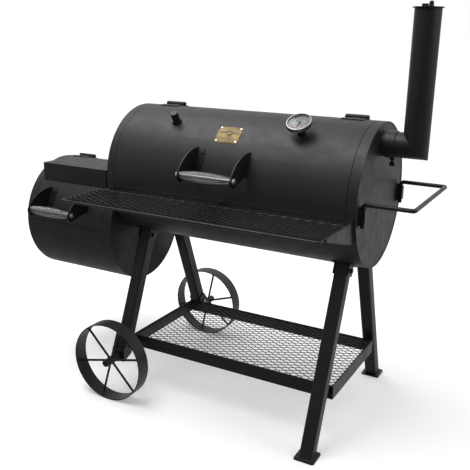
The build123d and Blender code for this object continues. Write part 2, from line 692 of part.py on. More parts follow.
# ---------------------------------------------------------------- axles and wheels
def axle_bracket(side):
    """Folded plate over the end of a left leg: two tapered cheeks and a face for the axle."""
    x, face = LEFT_LEG_X, PLATE_FACE_Y
    half = LEG / 2 + 0.1
    neck = leg_y(BRACKET_TOP)
    corners = [(face, BRACKET_LOW), (face, WHEEL_R + 22), (neck + 18, BRACKET_TOP)]
    corners += [(neck - 16, BRACKET_TOP - 12), (leg_y(AXLE_LEG_END) - 14, AXLE_LEG_END - 10)]
    outline = Polyline(*[(side * y, z) for y, z in corners], close=True)
    channel = profile(make_face(outline), x - half - BRACKET_SHEET, x + half + BRACKET_SHEET)
    y0, y1 = sorted((side * 150.0, side * (face - BRACKET_SHEET)))
    channel -= block(x - half, x + half, y0, y1, 100, 300)
    y0, y1 = sorted((side * (face - 20), side * (face + 20)))
    channel -= rod((x, y0, WHEEL_R), (x, y1, WHEEL_R), AXLE_R)
    y = side * leg_y(AXLE_BOLT_Z)
    return channel - rod((x - 60, y, AXLE_BOLT_Z), (x + 60, y, AXLE_BOLT_Z), BOLT_R)


def axle(side):
    """Shouldered axle bolt: its head is outside the wheel, and a collar and nut hold the bracket."""
    x, z = LEFT_LEG_X, WHEEL_R
    end = WHEEL_Y + HUB_HALF + 0.5
    shank = rod((x, side * 278.0, z), (x, side * end, z), AXLE_R)
    head = rod((x, side * end, z), (x, side * REAR_AXLE_END, z), 12.0)
    head -= rod((x, side * (end + 1.5), z), (x, side * (REAR_AXLE_END + 1), z), 6.0)
    collar = rod((x, side * PLATE_FACE_Y, z), (x, side * (WHEEL_Y - HUB_HALF - 0.5), z), 13.0)
    inside = side * (PLATE_FACE_Y - BRACKET_SHEET)
    nut_place = Plane(origin=(x, inside, z), x_dir=(1, 0, 0), z_dir=(0, -side, 0))
    return shank + head + collar + hex_head(nut_place, 24.0, 8.0)


def wheel_rim(side):
    """Flat steel band rolled to a hoop."""
    y0, y1 = side * (WHEEL_Y - RIM_WIDTH / 2), side * (WHEEL_Y + RIM_WIDTH / 2)
    return tube((LEFT_LEG_X, y0, WHEEL_R), (LEFT_LEG_X, y1, WHEEL_R), WHEEL_R, WHEEL_R - RIM_THICK)


def wheel_spokes(side):
    """Round spokes welded to the hub tube."""
    x, z = LEFT_LEG_X, WHEEL_R
    y = side * WHEEL_Y
    hub = rod((x, y - HUB_HALF, z), (x, y + HUB_HALF, z), HUB_R)
    inside = rod((x, y - 40, z), (x, y + 40, z), WHEEL_R - RIM_THICK)
    for i in range(SPOKES):
        angle = radians(360 / SPOKES * i + SPOKE_TURNS[side])
        end = (x + WHEEL_R * cos(angle), y, z + WHEEL_R * sin(angle))
        hub += rod((x, y, z), end, SPOKE_R) & inside
    return hub - rod((x, y - 50, z), (x, y + 50, z), AXLE_R + RUNNING)


def hex_bolts():
    """Bolts across the saddles and the axle brackets, each with a nut."""
    bolts = []
    places = [(x, side, LEG_BOLT_Z) for x in (LEFT_LEG_X, RIGHT_LEG_X) for side in (-1, 1)]
    places += [(LEFT_LEG_X, side, AXLE_BOLT_Z) for side in (-1, 1)]
    half = LEG / 2 + 4.1
    for x, side, z in places:
        y = side * leg_y(z)
        bolt = rod((x - half, y, z), (x + half + 6, y, z), BOLT_R)
        left = Plane(origin=(x - half, y, z), x_dir=(0, 1, 0), z_dir=(-1, 0, 0))
        right = Plane(origin=(x + half, y, z), x_dir=(0, 1, 0), z_dir=(1, 0, 0))
        bolts.append(bolt + hex_head(left, 13.0, 5.0) + hex_head(right, 13.0, 6.5))
    return bolts


# ---------------------------------------------------------------- lower shelf
def lower_shelf_frame():
    """Mitred frame of upright flat bar with a ledge inside it, and lugs that reach the legs."""
    x0, x1, y, z1 = TRAY_X0, TRAY_X1, TRAY_Y, TRAY_TOP
    z0 = z1 - TRAY_DEEP
    frame = block(x0, x1, -y, y, z0, z1)
    frame -= block(x0 + SHEET, x1 - SHEET, -y + SHEET, y - SHEET, z0 - 1, z1 + 1)
    ledge_top = z1 - TRAY_DROP
    ledge = block(x0 + 1, x1 - 1, -y + 1, y - 1, ledge_top - SHEET, ledge_top)
    inset = TRAY_LEDGE
    frame += ledge - block(x0 + inset, x1 - inset, -y + inset, y - inset, z0, z1)
    left, right = (LEFT_LEG_X, x0, x0 + 16), (RIGHT_LEG_X, RIGHT_LEG_X - 15, RIGHT_LEG_X + 15)
    for side in (-1, 1):
        for x, lug0, lug1 in (left, right):
            y0, y1 = sorted((side * (y - 1), side * (leg_y(z0) + 10)))
            lug = block(lug0, lug1, y0, y1, z0 + 8, z0 + 26)
            leg_bar = extrude(leg_plane(x, side, 0) * Rectangle(LEG, LEG), amount=600)
            outside = leg_plane(x, side, 0) * Pos(0, side * 50) * Rectangle(LEG * 2, 100)
            frame += lug - leg_bar - extrude(outside, amount=600)
    return frame


def lower_shelf_mesh():
    """Expanded metal lying on the frame's ledge, as the sheet that it was cut from."""
    z0 = TRAY_TOP - TRAY_DROP
    edge = SHEET + 0.5
    return block(TRAY_X0 + edge, TRAY_X1 - edge, -TRAY_Y + edge, TRAY_Y - edge, z0, z0 + MESH_THICK)


# ---------------------------------------------------------------- firebox
def firebox_tube():
    """The firebox's whole rolled sheet, with the lid's window."""
    inner = FIREBOX_R - SHEET
    shell = tube((FIREBOX_X0, 0, FIREBOX_Z), (FIREBOX_X1, 0, FIREBOX_Z), FIREBOX_R, inner)
    low, high = FB_LID_LOW - GAP_ANGLE, FB_LID_HIGH + GAP_ANGLE
    x0, x1 = FB_LID_X0 - GAP, FB_LID_X1 + GAP
    return shell - band(inner - 5, FIREBOX_R + 5, low, high, x0, x1, FIREBOX_Z)


def firebox_upper_shell():
    """Upper half, with the lips that the lid shuts on."""
    half = block(-500, 100, -300, 300, FIREBOX_Z + 0.1, FIREBOX_Z + 300)
    shell = firebox_tube() & half
    inner = FIREBOX_R - SHEET
    high = FB_LID_HIGH + GAP_ANGLE
    for x0, x1, lip0, lip1 in ((FB_LID_X0 - 12, FB_LID_X0 - GAP, FB_LID_X0 - 12, FB_LID_X0 + 14),
                               (FB_LID_X1 + GAP, FB_LID_X1 + 12, FB_LID_X1 - 14, FB_LID_X1 + 12)):
        shell += band(inner - SHEET, inner, 1.0, high + 3, x0, x1, FIREBOX_Z)
        shell += band(inner - SHEET, inner - CLEAR, 1.0, high + 3, lip0, lip1, FIREBOX_Z)
    return shell


def firebox_lower_shell():
    """Lower half: the ash pan of the firebox."""
    return firebox_tube() & block(-500, 100, -300, 300, FIREBOX_Z - 300, FIREBOX_Z - 0.4)


def firebox_end_right():
    """End plate in two halves; the upper half has the opening into the main barrel."""
    x0 = FIREBOX_X1 - CAP_INSET - SHEET
    x1 = x0 + SHEET
    plate = disc_yz(FIREBOX_R - SHEET, FIREBOX_Z, x0, x1) - lens(22, 26, x0 - 1, x1 + 1)
    upper = plate & block(x0 - 1, x1 + 1, -300, 300, FIREBOX_Z + 0.1, 900)
    lower = plate & block(x0 - 1, x1 + 1, -300, 300, 200, FIREBOX_Z - 0.4)
    return [upper, lower]


def firebox_throat():
    """Short duct that carries the firebox on the barrel's end plate."""
    x0, x1 = FIREBOX_X1 - CAP_INSET, CAP_INSET
    return lens(16, 20, x0, x1) - lens(22, 26, x0 - 1, x1 + 1)


def firebox_end_left():
    """End plate with the side opening and the fixed knuckles of its door."""
    x0 = FIREBOX_X0 + CAP_INSET
    plate = disc_yz(FIREBOX_R - SHEET, FIREBOX_Z, x0, x0 + SHEET)
    plate -= block(x0 - 1, x0 + SHEET + 1, -DOOR_Y, DOOR_Y, DOOR_Z0, DOOR_Z1)
    for z0, z1 in DOOR_FIXED_SPANS:
        plate += block(DOOR_AXIS_X - 1, x0 + 1, DOOR_HINGE_Y - 5, DOOR_HINGE_Y + 5, z0, z1)
        plate += rod((DOOR_AXIS_X, DOOR_HINGE_Y, z0), (DOOR_AXIS_X, DOOR_HINGE_Y, z1), 5.0)
    return plate - rod((DOOR_AXIS_X, DOOR_HINGE_Y, 400), (DOOR_AXIS_X, DOOR_HINGE_Y, 700), DOOR_PIN_R)


def door_hinge_pin():
    """Pin of the side door."""
    return rod((DOOR_AXIS_X, DOOR_HINGE_Y, 480), (DOOR_AXIS_X, DOOR_HINGE_Y, 575), DOOR_PIN_R)


def vent_holes(x0, x1, turn):
    """Three round vents about the damper's pivot."""
    holes = []
    for i in range(3):
        angle = radians(120 * i + turn)
        y, z = DAMPER_Y + VENT_R * cos(angle), DAMPER_Z + VENT_R * sin(angle)
        holes.append(disc_yz(VENT_HOLE_R, z, x0, x1, y))
    return holes


def firebox_door():
    """Side door plate with its knuckle, its turned edge, its pull tab and the damper's stud."""
    x1 = DOOR_PLATE_X
    x0 = x1 - SHEET
    door = block(x0, x1, -DOOR_Y - 8, DOOR_Y + 12, DOOR_Z0 - 10, DOOR_Z1 + 10)
    z0, z1 = DOOR_FIXED_SPANS[0][1] + CLEAR, DOOR_FIXED_SPANS[1][0] - CLEAR
    door += block(DOOR_AXIS_X - 1.5, DOOR_AXIS_X + 1.5, DOOR_HINGE_Y, -DOOR_Y, z0, z1)
    door += rod((DOOR_AXIS_X, DOOR_HINGE_Y, z0), (DOOR_AXIS_X, DOOR_HINGE_Y, z1), 5.0)
    door += block(x0 - 1.5, x0 + 0.1, -DOOR_Y - 5, -DOOR_Y + 25, z0, z1)
    door -= rod((DOOR_AXIS_X, DOOR_HINGE_Y, 400), (DOOR_AXIS_X, DOOR_HINGE_Y, 700), DOOR_PIN_R + RUNNING)
    door += block(x0 - 15, x0, DOOR_Y + 4, DOOR_Y + 7, DAMPER_Z - 20, DAMPER_Z + 20)
    for hole in vent_holes(x0 - 1, x1 + 1, 90):
        door -= hole
    door += disc_yz(4.0, DAMPER_Z, LEFTMOST + 9, x0, DAMPER_Y)
    return door + disc_yz(8.0, DAMPER_Z, x0 - 7.5, x0 - 3.6, DAMPER_Y)


def air_damper():
    """Round vent plate that turns on the door's stud to open or shut the vents."""
    x1 = DOOR_PLATE_X - SHEET - CLEAR
    x0 = x1 - 3.0
    plate = disc_yz(DAMPER_R, DAMPER_Z, x0, x1, DAMPER_Y)
    for hole in vent_holes(x0 - 1, x1 + 1, 90):
        plate -= hole
    plate -= disc_yz(4.0 + RUNNING, DAMPER_Z, x0 - 1, x1 + 1, DAMPER_Y)
    tab_z = DAMPER_Z - DAMPER_R + 4
    plate += block(LEFTMOST, x0, DAMPER_Y - 9, DAMPER_Y + 9, tab_z, tab_z + 3)
    return plate


def charcoal_grate():
    """Wire grate across the firebox, over the ash."""
    z, half = 478.0, 190.0
    x0, x1 = FIREBOX_X0 + 20, FIREBOX_X1 - 20
    wires = [rod((x0, y, z), (x1, y, z), 5.0) for y in (-half, -half / 3, half / 3, half)]
    count = 18
    for n in range(count + 1):
        x = x0 + 6 + (x1 - x0 - 12) / count * n
        wires.append(rod((x, -half, z), (x, half, z), 4.0))
    grate = wires[0]
    for wire in wires[1:]:
        grate += wire
    return grate


def firebox_lid():
    """Rolled lid with a square hood: flat top, upright front and two closed sides."""
    outer, inner = FIREBOX_R, FIREBOX_R - SHEET
    lid = band(inner, outer, FB_LID_LOW, FB_LID_HIGH, FB_LID_X0, FB_LID_X1, FIREBOX_Z)
    lid -= band(inner - 5, outer + 5, BOX_LOW, 90.0, BOX_X0 + SHEET, BOX_X1 - SHEET, FIREBOX_Z)
    root = polar(outer, BOX_LOW, FIREBOX_Z)
    crown = polar(outer, 90.0, FIREBOX_Z)
    corner = (BOX_Y, crown[1])
    middle = polar(outer, (BOX_LOW + 90) / 2, FIREBOX_Z)
    side_face = make_face(Line(root, corner) + Line(corner, crown) + ThreePointArc(crown, middle, root))
    for x0 in (BOX_X0, BOX_X1 - SHEET):
        lid += profile(side_face, x0, x0 + SHEET)
    top = crown[1]
    lid += block(BOX_X0, BOX_X1, BOX_Y, 3.0, top - SHEET, top)
    lid += block(BOX_X0, BOX_X1, BOX_Y, BOX_Y + SHEET, root[1] - 3.0, top)
    lid -= disc_yz(inner, FIREBOX_Z, BOX_X0 - 1, BOX_X1 + 1)
    for x, angle in handle_bolt_places(FB_HANDLE_X, FB_FIN_TURN):
        lid -= post(surface(x, 0, angle, FIREBOX_R, FIREBOX_Z), 3.0, -10, 10)
    return lid


# ---------------------------------------------------------------- write every node
def write_barrel():
    save("barrel_shell", barrel_shell())
    save("barrel_end_left", barrel_end_left())
    save("barrel_end_right", barrel_end_right())
    save("cooking_grates", *cooking_grates())
    save("hinge_fixed_leaves", *barrel_hinge_leaves(False), *firebox_hinge_leaves(False))
    save("hinge_pins", *hinge_pins(), door_hinge_pin())
    save("front_shelf_frame", front_shelf_frame())
    save("front_shelf_mesh", front_shelf_mesh())
    save("front_shelf_brackets", *front_shelf_brackets())
    save("pull_handle", pull_handle())
    save("pull_handle_brackets", *pull_handle_brackets())


def write_lid():
    place = (HANDLE_X, 0.0, BARREL_R, BARREL_Z)
    save("main_lid", main_lid())
    save("lid_hinge_leaves", *barrel_hinge_leaves(True))
    save("lid_handle_brackets", *handle_brackets(*place))
    save("lid_handle_rod", handle_rod(*place))
    save("lid_handle_spring", handle_spring(*place))
    save("lid_handle_bolts", *handle_bolts(*place))
    save("nameplate", nameplate())
    save("nameplate_rivets", *nameplate_rivets())
    save("thermometer_stem", thermometer_stem())
    save("thermometer_case", thermometer_case())
    save("thermometer_dial", thermometer_dial())
    save("thermometer_needle", thermometer_needle())
    save("thermometer_lens", thermometer_lens())
    save("lid_port_plug", lid_port_plug())


def write_stack():
    save("stack_stub", stack_stub())
    save("stack_collar", stack_collar())
    save("stack_set_screw", stack_set_screw())
    save("stack_pipe", stack_pipe())
    save("stack_cap", stack_cap())
    save("stack_cap_bolt", stack_cap_bolt())


def write_stand():
    for name, x, side, low in (("leg_front_left", LEFT_LEG_X, -1, AXLE_LEG_END),
                               ("leg_back_left", LEFT_LEG_X, 1, AXLE_LEG_END),
                               ("leg_front_right", RIGHT_LEG_X, -1, FOOT_THICK),
                               ("leg_back_right", RIGHT_LEG_X, 1, FOOT_THICK)):
        save(name, leg(x, side, low))
    save("leg_saddles", leg_saddle(LEFT_LEG_X), leg_saddle(RIGHT_LEG_X))
    save("foot_plates", *foot_plates())
    save("axle_brackets", axle_bracket(-1), axle_bracket(1))
    save("hex_bolts", *hex_bolts())
    save("axles", axle(-1), axle(1))
    for name, side in (("front_wheel", -1), ("rear_wheel", 1)):
        save(f"{name}_rim", wheel_rim(side))
        save(f"{name}_spokes", wheel_spokes(side))
    save("lower_shelf_frame", lower_shelf_frame())
    save("lower_shelf_mesh", lower_shelf_mesh())


def write_firebox():
    place = (FB_HANDLE_X, FB_FIN_TURN, FIREBOX_R, FIREBOX_Z)
    save("firebox_upper_shell", firebox_upper_shell())
    save("firebox_lower_shell", firebox_lower_shell())
    save("firebox_end_left", firebox_end_left())
    save("firebox_end_right", *firebox_end_right())
    save("firebox_throat", firebox_throat())
    save("charcoal_grate", charcoal_grate())
    save("firebox_lid", firebox_lid())
    save("firebox_hinge_leaves", *firebox_hinge_leaves(True))
    save("firebox_handle_brackets", *handle_brackets(*place))
    save("firebox_handle_rod", handle_rod(*place))
    save("firebox_handle_spring", handle_spring(*place))
    save("firebox_handle_bolts", *handle_bolts(*place))
    save("firebox_door", firebox_door())
    save("air_damper", air_damper())


os.makedirs("parts", exist_ok=True)
write_barrel()
write_lid()
write_stack()
write_stand()
write_firebox()
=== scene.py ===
"""Looks of a barrel charcoal grill with an offset firebox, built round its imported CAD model."""
import json
from math import acos, ceil, cos, pi, radians, sin, tau

import bpy
from mathutils import Matrix, Vector


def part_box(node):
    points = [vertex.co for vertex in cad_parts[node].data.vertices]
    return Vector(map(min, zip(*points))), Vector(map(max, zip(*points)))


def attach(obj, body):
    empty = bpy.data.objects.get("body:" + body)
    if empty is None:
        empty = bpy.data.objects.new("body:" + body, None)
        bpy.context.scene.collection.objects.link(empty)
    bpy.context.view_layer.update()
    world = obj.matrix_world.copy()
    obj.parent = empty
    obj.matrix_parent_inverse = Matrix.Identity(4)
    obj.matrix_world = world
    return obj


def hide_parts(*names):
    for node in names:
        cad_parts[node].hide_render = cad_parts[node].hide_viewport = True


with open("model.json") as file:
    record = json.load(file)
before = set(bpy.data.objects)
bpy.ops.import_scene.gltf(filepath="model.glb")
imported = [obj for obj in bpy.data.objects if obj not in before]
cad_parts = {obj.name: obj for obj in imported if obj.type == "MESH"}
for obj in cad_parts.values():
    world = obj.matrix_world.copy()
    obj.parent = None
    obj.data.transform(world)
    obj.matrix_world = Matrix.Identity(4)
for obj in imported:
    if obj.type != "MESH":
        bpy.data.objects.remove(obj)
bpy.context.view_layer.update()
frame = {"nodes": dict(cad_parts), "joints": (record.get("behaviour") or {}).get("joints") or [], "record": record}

MM = 0.001


# ---------------------------------------------------------------- places, from the CAD nodes
def middle(node):
    low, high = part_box(node)
    return (low + high) / 2


def joint(name):
    return next(j for j in frame["joints"] if j["name"] == name)


BARREL_LOW, BARREL_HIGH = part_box("barrel_shell")
BARREL_Y = middle("barrel_shell").y
BARREL_Z = middle("barrel_shell").z
BARREL_R = (BARREL_HIGH.y - BARREL_LOW.y) / 2
SHEET = 3 * MM

FIREBOX_LOW, FIREBOX_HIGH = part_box("firebox_lower_shell")
FIREBOX_R = (FIREBOX_HIGH.y - FIREBOX_LOW.y) / 2
FIREBOX_Z = FIREBOX_LOW.z + FIREBOX_R

# The camera, measured from the barrel's left end, from its axis and from the floor.
CAMERA_REACH = Vector((1.481, -2.0326))
CAMERA_Z = 1.2351
CAMERA_AZIMUTH = 28.5
CAMERA_ELEVATION = 16.2
CAMERA_ROLL = 1.1
CAMERA_LENS = 52.2


def on_barrel(x, angle, radius, centre_y=BARREL_Y, centre_z=BARREL_Z):
    """The point at an angle above the horizontal at the front, round a barrel's axis."""
    return Vector((x, centre_y - radius * cos(radians(angle)), centre_z + radius * sin(radians(angle))))


# ---------------------------------------------------------------- material nodes
class Nodes:
    """A material's node tree, with short ways to add and link nodes."""

    def __init__(self, name):
        self.material = bpy.data.materials.new(name)
        self.material.use_nodes = True
        self.tree = self.material.node_tree
        self.shader = self.tree.nodes["Principled BSDF"]
        self.place = self.add("ShaderNodeTexCoord").outputs["Object"]

    def add(self, kind, inputs=None, **settings):
        node = self.tree.nodes.new(kind)
        for key, value in settings.items():
            setattr(node, key, value)
        for key, value in (inputs or {}).items():
            if isinstance(value, bpy.types.NodeSocket):
                self.tree.links.new(value, node.inputs[key])
            else:
                node.inputs[key].default_value = value
        return node

    def link(self, output, socket):
        self.tree.links.new(output, self.shader.inputs[socket])

    def noise(self, scale, detail=4.0, stretch=(1, 1, 1)):
        """Noise from 0 to 1 at a scale per metre, drawn out along an axis by a stretch under 1."""
        spread = self.add("ShaderNodeMapping", {"Vector": self.place, "Scale": stretch})
        inputs = {"Vector": spread.outputs[0], "Scale": scale, "Detail": detail, "Roughness": 0.6}
        return self.add("ShaderNodeTexNoise", inputs).outputs[0]

    def span(self, value, low, high, start=0.3, end=0.7):
        """A value from start to end, stretched to run from low to high."""
        inputs = {"Value": value, "From Min": start, "From Max": end, "To Min": low, "To Max": high}
        return self.add("ShaderNodeMapRange", inputs).outputs[0]

    def math(self, operation, a, b):
        return self.add("ShaderNodeMath", {0: a, 1: b}, operation=operation).outputs[0]

    def blend(self, factor, a, b):
        node = self.add("ShaderNodeMix", {"Factor": factor}, data_type="RGBA")
        for socket, value in ((node.inputs[6], a), (node.inputs[7], b)):
            if isinstance(value, bpy.types.NodeSocket):
                self.tree.links.new(value, socket)
            else:
                socket.default_value = (*value, 1)
        return node.outputs[2]

    def bump(self, height, strength, distance, normal=None):
        inputs = {"Height": height, "Strength": strength, "Distance": distance}
        if normal is not None:
            inputs["Normal"] = normal
        return self.add("ShaderNodeBump", inputs).outputs[0]

    def rounded(self, radius):
        """The surface's normal with its edges rounded off."""
        return self.add("ShaderNodeBevel", {"Radius": radius}, samples=4).outputs[0]

    def edges(self, rounded):
        """1 on the object's edges and 0 on its flat faces."""
        flat = self.add("ShaderNodeNewGeometry").outputs["Normal"]
        same = self.add("ShaderNodeVectorMath", {0: rounded, 1: flat}, operation="DOT_PRODUCT")
        return self.span(same.outputs["Value"], 1.0, 0.0, 0.80, 0.99)


def shade(colour, factor):
    return tuple(channel * factor for channel in colour)


def paint(name, colour, roughness, stretch=(1, 1, 1), edge_rub_and_highlight=0.5):
    """Heat-resistant paint on steel: a fine grain, faint clouds and paler edges, partly paint worn thin and partly
    a painted highlight where the edges catch light.
    """
    n = Nodes(name)
    cloud = n.noise(7, 6, stretch)
    grain = n.noise(1300, 2)
    peel = n.noise(260, 3)
    body = n.blend(n.span(cloud, 0, 1), shade(colour, 0.82), shade(colour, 1.2))
    body = n.blend(n.span(grain, 0, 0.35, 0.55, 0.75), body, shade(colour, 1.9))
    soft = n.rounded(0.9 * MM)
    # Paler edges: partly paint worn thin, partly a painted edge highlight.
    rubbed_and_highlit = n.math("MULTIPLY", n.edges(soft), n.span(n.noise(90), 0.1, edge_rub_and_highlight, 0.4, 0.65))
    n.link(n.blend(rubbed_and_highlit, body, (0.11, 0.11, 0.112)), "Base Color")
    n.link(n.span(n.noise(30, 5, stretch), roughness - 0.07, roughness + 0.07), "Roughness")
    surface = n.bump(peel, 0.16, 0.3 * MM, soft)
    n.link(n.bump(grain, 0.22, 0.12 * MM, surface), "Normal")
    n.shader.inputs["Specular IOR Level"].default_value = 0.38
    return n.material


def plated(name, colour, roughness, scratch=(1, 1, 1)):
    """Bright plating: slight stains, hairline scratches and edges rounded by polishing."""
    n = Nodes(name)
    stain = n.noise(55, 5)
    hair = n.noise(700, 3, scratch)
    n.link(n.blend(n.span(stain, 0, 1), shade(colour, 0.78), colour), "Base Color")
    n.link(n.span(hair, roughness * 0.7, roughness * 1.5), "Roughness")
    n.link(n.bump(hair, 0.12, 0.08 * MM, n.rounded(0.5 * MM)), "Normal")
    n.shader.inputs["Metallic"].default_value = 1.0
    return n.material


PAINTED_ABOVE = 0.3                     # bolts higher than this, in metres, are black


def bolt_plating():
    """Plating on the low bolts; the high ones are painted over with the stand."""
    n = Nodes("bolt_zinc")
    height = n.add("ShaderNodeSeparateXYZ", {0: n.place}).outputs["Z"]
    bare = n.math("LESS_THAN", height, PAINTED_ABOVE)
    stain = n.noise(160, 5)
    silver = n.blend(n.span(stain, 0, 1), (0.46, 0.46, 0.48), (0.62, 0.62, 0.64))
    dark = n.blend(n.span(stain, 0, 1), (0.011, 0.011, 0.0115), (0.016, 0.016, 0.0165))
    n.link(n.blend(bare, dark, silver), "Base Color")
    n.link(bare, "Metallic")
    n.link(n.span(stain, 0.3, 0.46), "Roughness")
    n.link(n.bump(stain, 0.15, 0.1 * MM, n.rounded(0.5 * MM)), "Normal")
    return n.material


def brass_plate():
    """Satin brass, brushed along its length, darker in patches."""
    n = Nodes("plate_brass")
    hair = n.noise(900, 3, (0.05, 1, 1))
    cloud = n.noise(28, 4)
    tone = n.blend(n.span(cloud, 0, 1), (0.13, 0.092, 0.034), (0.29, 0.215, 0.085))
    n.link(n.blend(n.span(hair, 0, 0.35), tone, (0.13, 0.085, 0.028)), "Base Color")
    n.link(n.span(hair, 0.42, 0.60), "Roughness")
    n.link(n.bump(hair, 0.15, 0.06 * MM), "Normal")
    n.shader.inputs["Metallic"].default_value = 0.55
    return n.material


def dial_face():
    """Grey printed dial, slightly clouded and finely speckled."""
    n = Nodes("dial_print")
    speck = n.noise(900, 3)
    cloud = n.noise(45, 3)
    tone = n.blend(n.span(cloud, 0, 1), (0.19, 0.186, 0.194), (0.26, 0.254, 0.265))
    n.link(n.blend(n.span(speck, 0, 0.25), tone, (0.22, 0.22, 0.23)), "Base Color")
    n.link(n.span(speck, 0.32, 0.46), "Roughness")
    n.link(n.bump(speck, 0.08, 0.03 * MM), "Normal")
    return n.material


def ink(name, colour):
    """Screen-printed ink."""
    n = Nodes(name)
    speck = n.noise(1500, 2)
    n.link(n.blend(n.span(speck, 0, 1), shade(colour, 0.8), shade(colour, 1.25)), "Base Color")
    n.link(n.span(speck, 0.42, 0.58), "Roughness")
    return n.material


def clear_glass():
    """Thin flat glass that lets the dial be lit, with a reflection that grows at a slant."""
    n = Nodes("gauge_glass")
    smear = n.noise(60, 4)
    through = n.add("ShaderNodeBsdfTransparent", {"Color": (0.97, 0.98, 0.98, 1)})
    shine = {"Color": (1, 1, 1, 1), "Roughness": n.span(smear, 0.02, 0.09)}
    gloss = n.add("ShaderNodeBsdfGlossy", shine)
    slant = n.add("ShaderNodeFresnel", {"IOR": 1.12})
    layers = {0: slant.outputs[0], 1: through.outputs[0], 2: gloss.outputs[0]}
    mixed = n.add("ShaderNodeMixShader", layers)
    n.tree.links.new(mixed.outputs[0], n.tree.nodes["Material Output"].inputs["Surface"])
    n.tree.nodes.remove(n.shader)
    return n.material


def weld_paint():
    """Painted weld bead: a little rougher and shinier on its ripples."""
    n = Nodes("weld_paint")
    ripple = n.noise(420, 4)
    n.link(n.blend(n.span(ripple, 0, 1), (0.018, 0.018, 0.019), (0.05, 0.05, 0.052)), "Base Color")
    n.link(n.span(ripple, 0.36, 0.6), "Roughness")
    n.link(n.bump(ripple, 0.5, 0.5 * MM), "Normal")
    return n.material


MATERIALS = {
    "barrel_paint": paint("barrel_paint", (0.021, 0.021, 0.0215), 0.50),
    "lid_paint": paint("lid_paint", (0.021, 0.021, 0.0215), 0.50),
    "firebox_paint": paint("firebox_paint", (0.020, 0.020, 0.0205), 0.52),
    "stand_paint": paint("stand_paint", (0.013, 0.013, 0.0135), 0.46, (1, 1, 0.25)),
    "stack_paint": paint("stack_paint", (0.014, 0.014, 0.0145), 0.44, (3, 3, 0.12)),
    "handle_paint": paint("handle_paint", (0.010, 0.010, 0.011), 0.42),
    "mesh_paint": paint("mesh_paint", (0.017, 0.017, 0.0175), 0.42),
    "wheel_paint": paint("wheel_paint", (0.018, 0.018, 0.0185), 0.46),
    "coil_chrome": plated("coil_chrome", (0.46, 0.46, 0.47), 0.22),
    "zinc_plated": plated("zinc_plated", (0.62, 0.62, 0.64), 0.30),
    "grate_steel": plated("grate_steel", (0.34, 0.34, 0.35), 0.38),
    "plate_brass": brass_plate(),
    "gauge_chrome": plated("gauge_chrome", (0.34, 0.34, 0.35), 0.30),
    "dial_print": dial_face(),
    "needle_paint": ink("needle_paint", (0.03, 0.03, 0.03)),
    "gauge_glass": clear_glass(),
}
NODE_MATERIALS = {
    "hex_bolts": bolt_plating(),
    "hinge_pins": MATERIALS["handle_paint"],
    "axles": MATERIALS["wheel_paint"],
}
WELD = weld_paint()
RED_INK = ink("red_ink", (0.26, 0.05, 0.055))
BLACK_INK = ink("black_ink", (0.035, 0.035, 0.04))
DARK_BRASS = ink("dark_brass", (0.12, 0.075, 0.03))


def dress_nodes():
    """Give every CAD node the material of its slot."""
    slots = {part["node"]: part["material_slot"] for part in frame["record"]["subparts"]}
    for name, node in frame["nodes"].items():
        node.data.materials.clear()
        node.data.materials.append(NODE_MATERIALS.get(name, MATERIALS[slots[name]]))


# ---------------------------------------------------------------- mesh helpers
def make_piece(name, vertices, faces, material, body, slot, smooth=True):
    """A mesh piece in the row frame, riding on a body."""
    mesh = bpy.data.meshes.new(name)
    mesh.from_pydata(vertices, [], faces)
    mesh.validate()
    mesh.materials.append(material)
    mesh.polygons.foreach_set("use_smooth", [smooth] * len(mesh.polygons))
    piece = bpy.data.objects.new(name, mesh)
    bpy.context.scene.collection.objects.link(piece)
    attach(piece, body)
    return piece


def tube(points, radii, sides, closed=False):
    """Vertices and faces of a round tube along points, with a radius at each."""
    count = len(points)
    vertices, faces = [], []
    ahead = (points[1] - points[0]).normalized()
    side = ahead.orthogonal().normalized()
    for i, point in enumerate(points):
        after = points[(i + 1) % count] if closed or i + 1 < count else point
        before = points[i - 1] if closed or i else point
        ahead = (after - before).normalized()
        side = (side - ahead * side.dot(ahead)).normalized()
        up = ahead.cross(side)
        for k in range(sides):
            turn = tau * k / sides
            vertices.append(point + (side * cos(turn) + up * sin(turn)) * radii[i])
    for i in range(count if closed else count - 1):
        a, b = i * sides, (i + 1) % count * sides
        faces += [(a + k, a + (k + 1) % sides, b + (k + 1) % sides, b + k) for k in range(sides)]
    if not closed:
        faces += [tuple(range(sides))[::-1], tuple(range((count - 1) * sides, count * sides))]
    return vertices, faces


def join(shapes):
    """Several (vertices, faces) as one."""
    vertices, faces = [], []
    for shape_vertices, shape_faces in shapes:
        base = len(vertices)
        vertices += shape_vertices
        faces += [tuple(base + i for i in face) for face in shape_faces]
    return vertices, faces


def curved_bar(x0, x1, low, high, r0, r1, steps=6):
    """A bar that follows the barrel's surface, between two angles and two radii."""
    vertices, faces = [], []
    for i in range(steps + 1):
        angle = low + (high - low) * i / steps
        vertices += [on_barrel(x, angle, r) for x, r in ((x0, r0), (x1, r0), (x1, r1), (x0, r1))]
    for i in range(steps):
        a = 4 * i
        faces += [(a + k, a + (k + 1) % 4, a + 4 + (k + 1) % 4, a + 4 + k) for k in range(4)]
    faces += [(3, 2, 1, 0), tuple(4 * steps + k for k in range(4))]
    return vertices, faces


# ---------------------------------------------------------------- coil grips
WIRE_R = 1.4 * MM
COIL_TURNS = 25
COIL_END_R = 11 * MM
RING_STEPS = 22
WIRE_SIDES = 10


